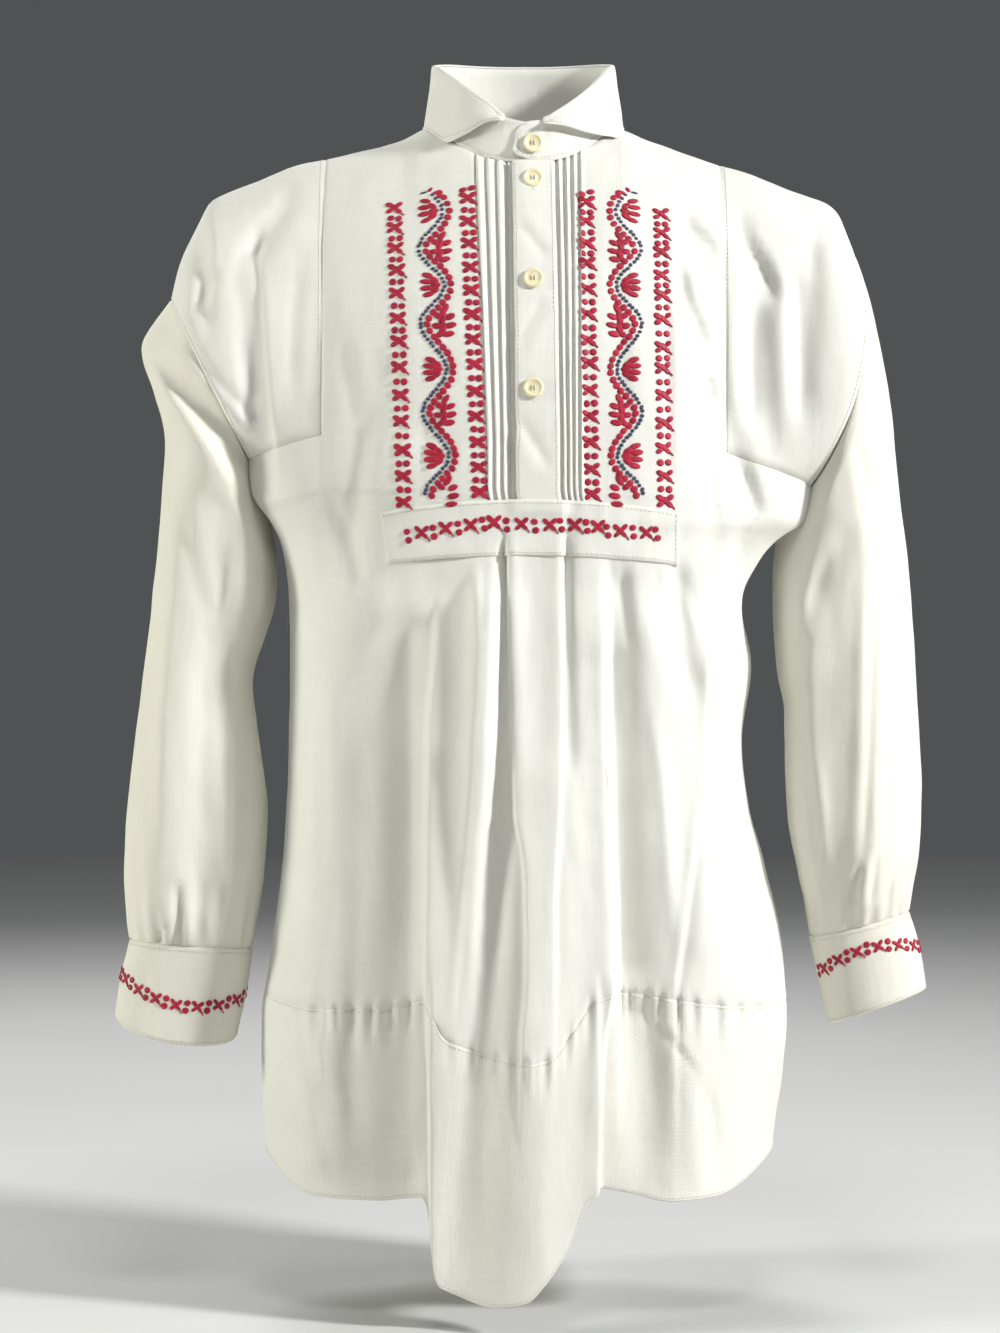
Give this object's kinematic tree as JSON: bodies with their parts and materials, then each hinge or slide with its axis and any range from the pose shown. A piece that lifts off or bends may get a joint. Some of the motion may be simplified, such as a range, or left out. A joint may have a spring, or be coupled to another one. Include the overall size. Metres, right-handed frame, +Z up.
{
  "type": "embroidered folk shirt",
  "caption": "Hollow worn-form pull-over folk shirt in linen: turned-down collar, buttoned placket, shoulder pieces, cuffed sleeves, curved lower bands.",
  "frame": {"origin": "middle of the neck at the height where the shoulders meet it, the place where the wearer's shoulders hold the shirt", "axes": "+Z up, -Y the way the front looks, +X the wearer's left"},
  "size_m": [0.628, 0.2992, 0.9464],
  "materials": {
    "linen": "ivory plain-weave linen, matt",
    "band_linen": "coarser ivory linen, matt",
    "button": "cream, satin"
  },
  "bodies": {
    "root": {"front": "linen", "back": "linen", "tail_front": "band_linen", "tail_back": "band_linen", "shoulder_left": "linen", "shoulder_right": "linen", "sleeve_left": "linen", "sleeve_right": "linen", "cuff_left": "linen", "cuff_right": "linen", "collar_stand": "linen", "collar_leaf": "linen", "placket_over": "linen", "placket_under": "linen", "bib_band": "linen", "button_collar": "button", "button_1": "button", "button_2": "button", "button_3": "button"}
  },
  "joints": []
}
